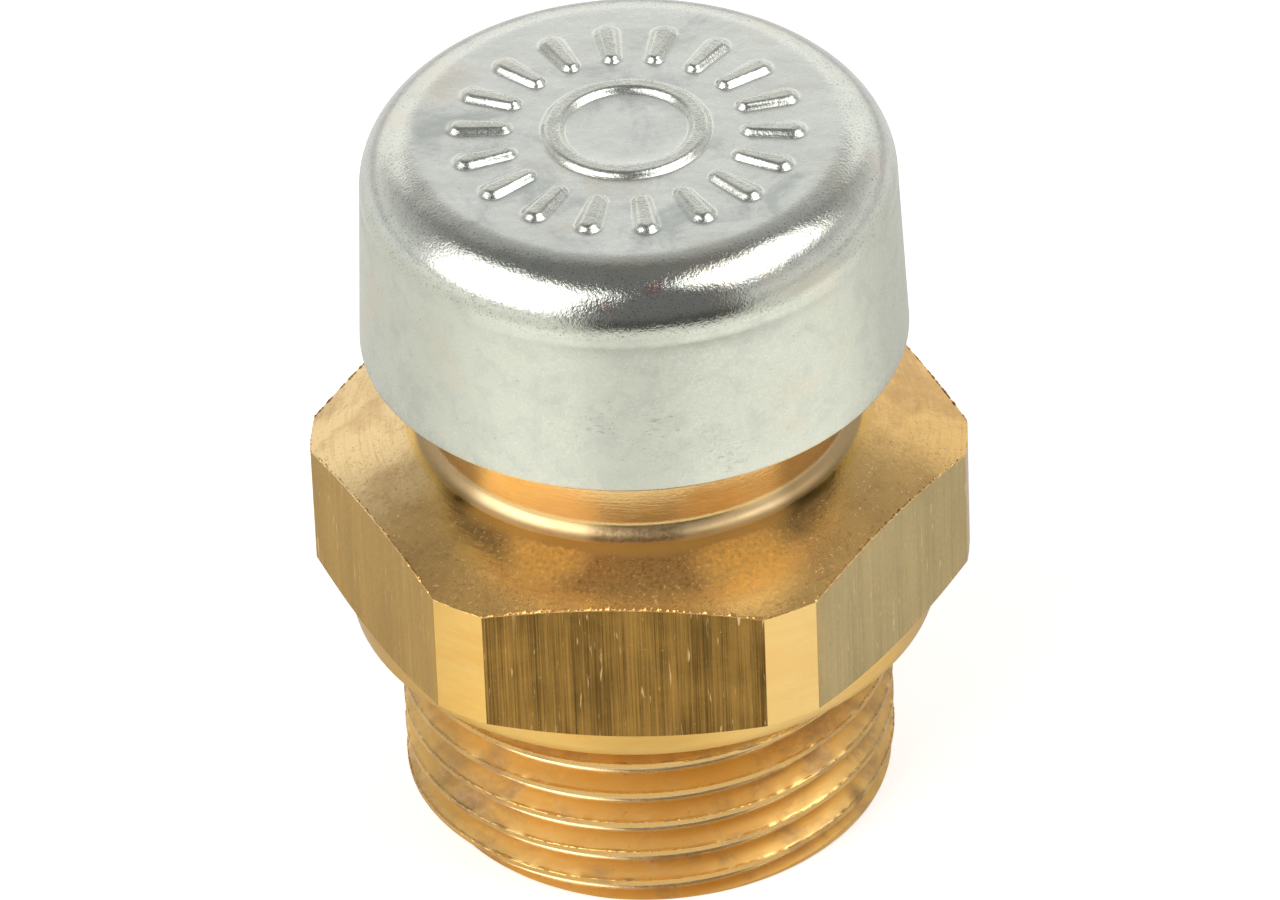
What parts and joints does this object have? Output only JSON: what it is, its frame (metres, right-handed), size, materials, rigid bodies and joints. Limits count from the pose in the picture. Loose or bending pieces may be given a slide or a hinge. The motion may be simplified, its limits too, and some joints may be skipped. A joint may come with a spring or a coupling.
{
  "type": "vent screw",
  "caption": "Brass screw plug with a hexagon and a loose pressed-steel cap over a spring-loaded vent valve, filter and splash guard.",
  "frame": {"origin": "on the thread's axis at the free end face of the thread, on which the plug stands upright", "axes": "+Z along the thread's axis towards the cap; a flat of the hexagon faces -Y and two of its corners lie on the X axis"},
  "size_m": [0.0264, 0.024, 0.0316],
  "materials": {
    "body_brass": "turned and drawn brass with a light brown patina",
    "cap_zinc": "zinc-plated pressed sheet steel, matte with fine dark flecks",
    "spring_steel": "plain spring steel",
    "stainless": "stainless steel sheet and wire",
    "disc_zinc": "zinc-plated sheet steel",
    "seal_rubber": "black nitrile rubber"
  },
  "bodies": {
    "plug": {"hex_body": "body_brass", "upper_screen": "stainless", "filter_pad": "stainless", "lower_screen": "stainless", "filter_ring": "spring_steel", "splash_guard": "disc_zinc", "guard_ring": "spring_steel"},
    "cap": {"cap": "cap_zinc", "cap_spider": "spring_steel", "valve_spring": "spring_steel"},
    "valve": {"valve_seal": "seal_rubber", "valve_disc": "disc_zinc"}
  },
  "joints": [
    {"name": "cap_turn", "type": "hinge", "parent": "plug", "child": "cap", "pos_m": [0, 0, 0.0235], "axis": [0, 0, 1], "continuous": true},
    {"name": "valve_lift", "type": "slide", "parent": "cap", "child": "valve", "axis": [0, 0, 1], "range_m": [0, 0.0012], "stiffness_N_per_m": 300, "springref_m": -0.0015, "deforming": ["valve_spring"]}
  ]
}
